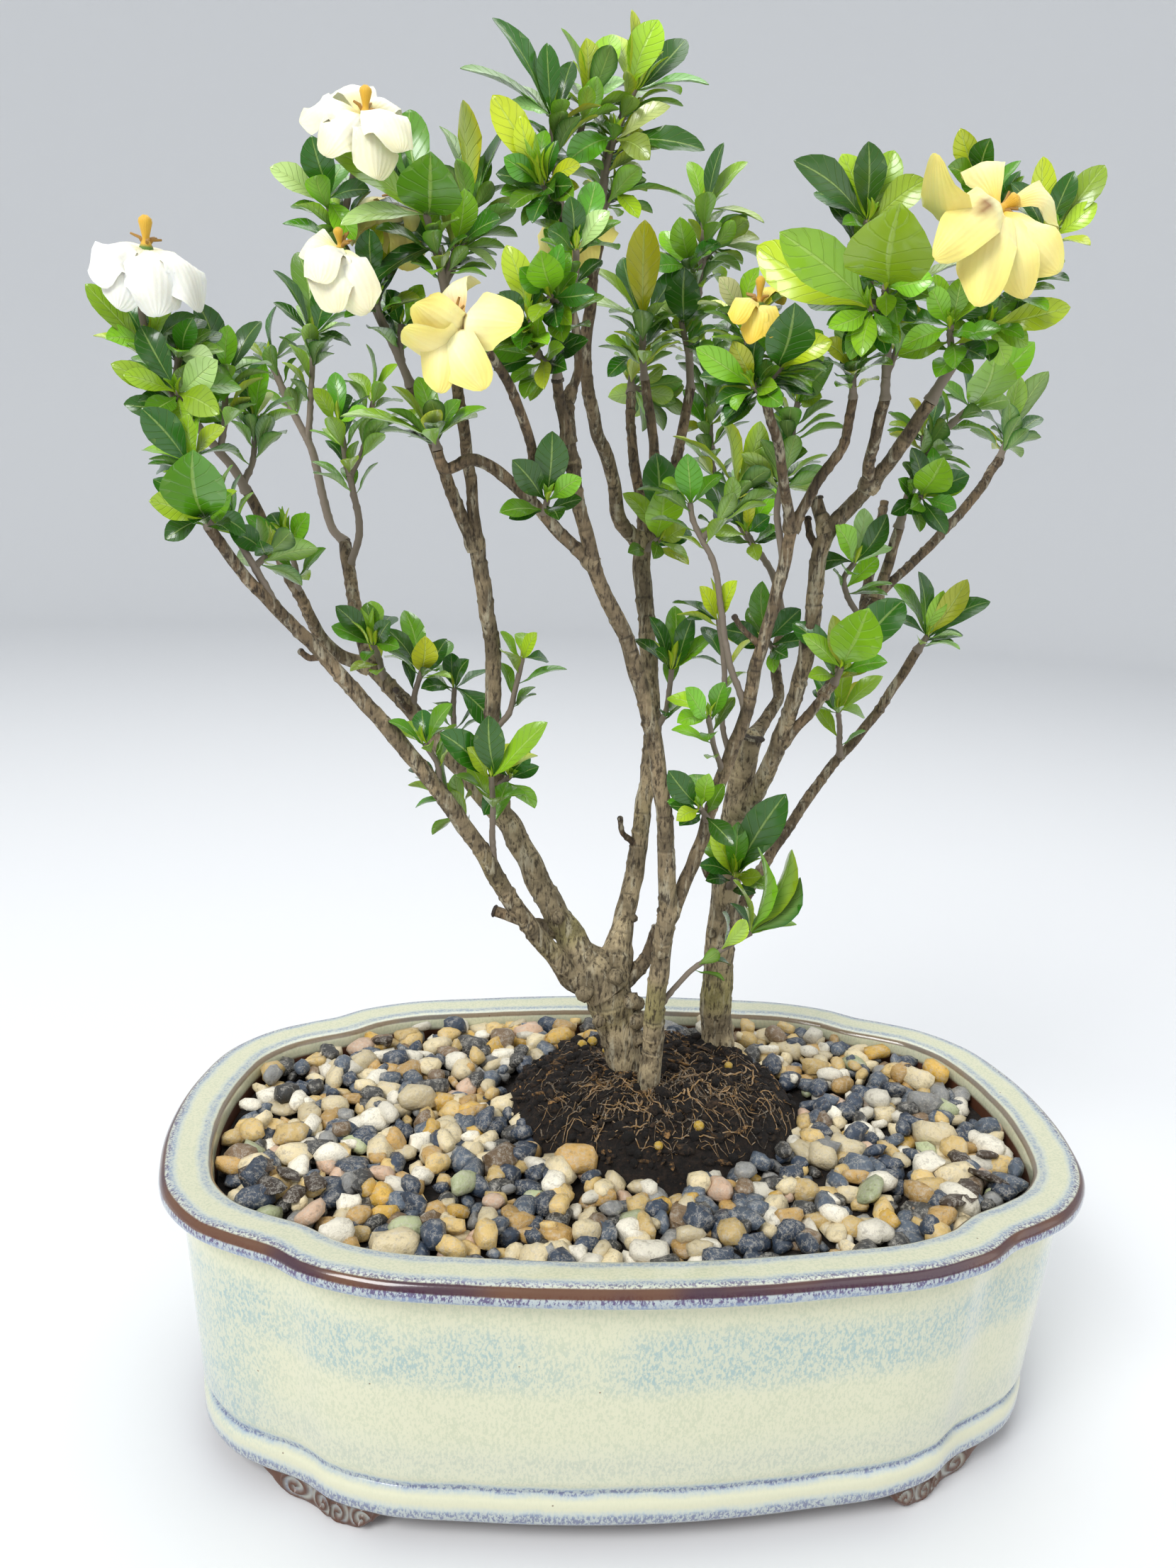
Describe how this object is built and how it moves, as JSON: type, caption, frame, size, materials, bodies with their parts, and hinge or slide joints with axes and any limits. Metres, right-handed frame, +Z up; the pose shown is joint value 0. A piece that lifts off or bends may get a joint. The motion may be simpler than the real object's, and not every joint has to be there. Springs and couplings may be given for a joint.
{
  "type": "gardenia bonsai",
  "caption": "Slender-trunked gardenia bonsai with glossy leaf whorls and fading blooms, in a cream-glazed four-lobed footed pot with gravel.",
  "frame": {"origin": "bottom centre of the overall box, at the level the pot's feet stand on", "axes": "+Z up, +X along the pot's length to the viewer's right, +Y to the pot's back"},
  "size_m": [0.3072, 0.1968, 0.4247],
  "materials": {
    "pot_glaze": "gloss",
    "soil_earth": "matte",
    "gravel_stone": "matte",
    "bark": "matte",
    "leaf_green": "gloss",
    "petal": "matte"
  },
  "bodies": {
    "root": {"bloom_1": "petal", "bloom_2": "petal", "bloom_3": "petal", "bloom_4": "petal", "bloom_5": "petal", "bloom_6": "petal", "bloom_7": "petal", "bloom_8": "petal", "gravel": "gravel_stone", "leaves_01": "leaf_green", "leaves_02": "leaf_green", "leaves_03": "leaf_green", "leaves_04": "leaf_green", "leaves_05": "leaf_green", "leaves_06": "leaf_green", "leaves_07": "leaf_green", "leaves_08": "leaf_green", "leaves_09": "leaf_green", "leaves_10": "leaf_green", "leaves_11": "leaf_green", "leaves_12": "leaf_green", "leaves_13": "leaf_green", "leaves_14": "leaf_green", "leaves_15": "leaf_green", "leaves_16": "leaf_green", "leaves_17": "leaf_green", "leaves_18": "leaf_green", "leaves_19": "leaf_green", "leaves_20": "leaf_green", "leaves_21": "leaf_green", "leaves_22": "leaf_green", "leaves_23": "leaf_green", "leaves_25": "leaf_green", "leaves_26": "leaf_green", "leaves_27": "leaf_green", "leaves_28": "leaf_green", "leaves_29": "leaf_green", "leaves_30": "leaf_green", "leaves_31": "leaf_green", "leaves_32": "leaf_green", "leaves_33": "leaf_green", "leaves_34": "leaf_green", "leaves_35": "leaf_green", "leaves_36": "leaf_green", "leaves_37": "leaf_green", "leaves_38": "leaf_green", "leaves_39": "leaf_green", "leaves_43": "leaf_green", "leaves_44": "leaf_green", "leaves_45": "leaf_green", "leaves_46": "leaf_green", "leaves_47": "leaf_green", "leaves_49": "leaf_green", "leaves_50": "leaf_green", "pot": "pot_glaze", "soil": "soil_earth", "tree_centre": "bark", "tree_left": "bark", "tree_right": "bark"}
  },
  "joints": []
}
